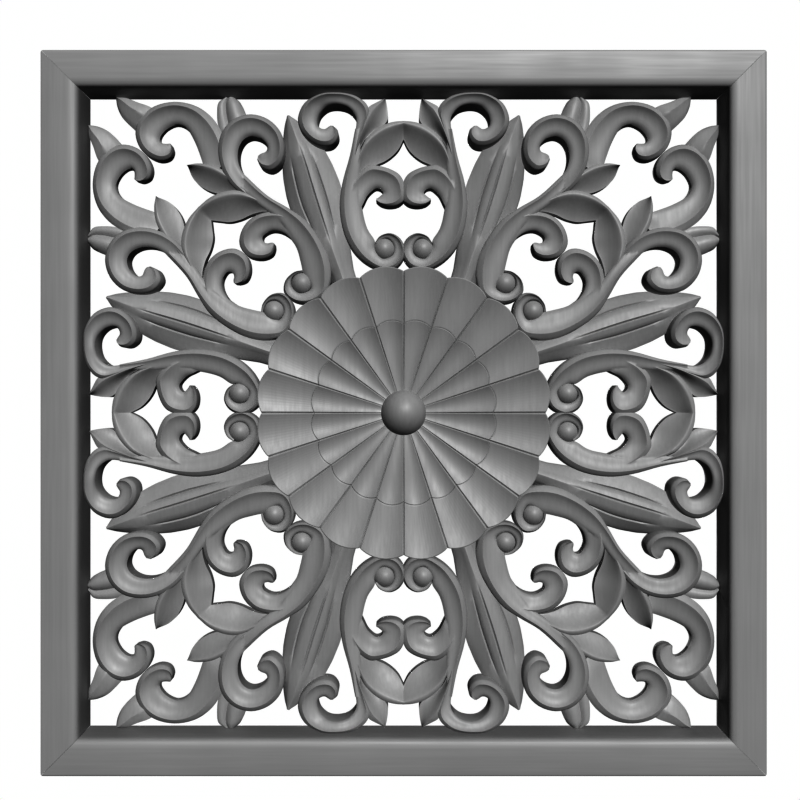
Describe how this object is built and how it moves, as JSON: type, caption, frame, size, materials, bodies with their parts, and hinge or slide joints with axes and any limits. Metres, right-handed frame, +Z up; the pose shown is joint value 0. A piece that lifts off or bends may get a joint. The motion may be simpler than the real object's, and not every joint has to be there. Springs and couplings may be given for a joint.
{
  "type": "carved panel",
  "caption": "Square pierced panel of carved scrolls, leaves and lances round a dished petal rosette with a round boss, in a plain mitred frame, to hang on a wall.",
  "frame": {"origin": "middle of the flat back of the top rail, where the panel hangs on its fixing", "axes": "+Z up, +X to the right seen from the front, +Y from the front through the back into the wall"},
  "size_m": [0.6, 0.038, 0.6],
  "materials": {
    "painted_carving": "matt grey paint over carved wood",
    "painted_frame": "matt grey paint over planed wood"
  },
  "bodies": {
    "root": {"carving": "painted_carving", "frame_top_rail": "painted_frame", "frame_left_stile": "painted_frame", "frame_bottom_rail": "painted_frame", "frame_right_stile": "painted_frame"}
  },
  "joints": []
}
